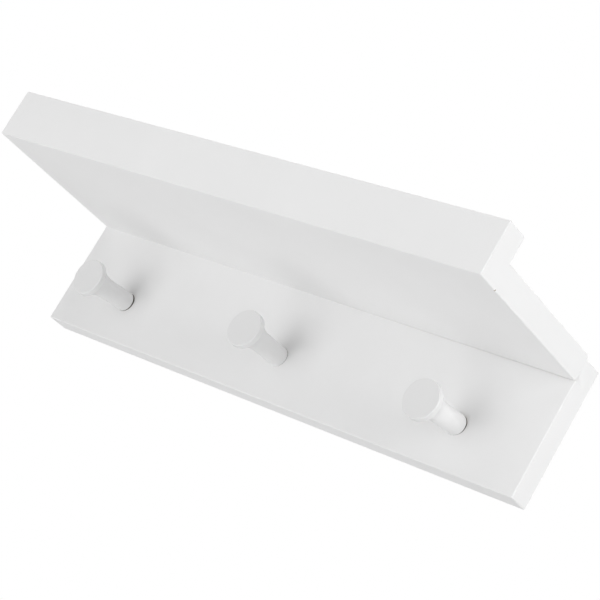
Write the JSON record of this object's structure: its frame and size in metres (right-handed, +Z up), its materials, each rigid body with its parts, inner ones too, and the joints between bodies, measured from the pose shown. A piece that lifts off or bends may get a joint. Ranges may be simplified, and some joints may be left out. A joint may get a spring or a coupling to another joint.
{
  "type": "wall shelf with hooks",
  "caption": "Painted wall shelf with a raised front lip above a back board that carries a row of turned pegs for coats, bags or towels.",
  "frame": {"origin": "centre of the back board's wall face", "axes": "+X along the wall to the right as seen from the room, +Y into the wall, +Z up"},
  "size_m": [0.44, 0.145, 0.1166],
  "materials": {
    "painted_board": "fibreboard sprayed with white satin paint",
    "painted_peg": "turned beech sprayed with white satin paint",
    "beech_dowel": "bare beech",
    "zinc_plate": "zinc plated",
    "zinc_screw": "zinc plated"
  },
  "bodies": {
    "root": {"back_board": "painted_board", "shelf_board": "painted_board", "front_lip": "painted_board", "peg_left": "painted_peg", "peg_middle": "painted_peg", "peg_right": "painted_peg", "peg_screws": "zinc_screw", "shelf_screws": "zinc_screw", "shelf_dowels": "beech_dowel", "lip_dowels": "beech_dowel", "keyhole_plate_left": "zinc_plate", "keyhole_plate_right": "zinc_plate", "keyhole_plate_screws": "zinc_screw"}
  },
  "joints": []
}
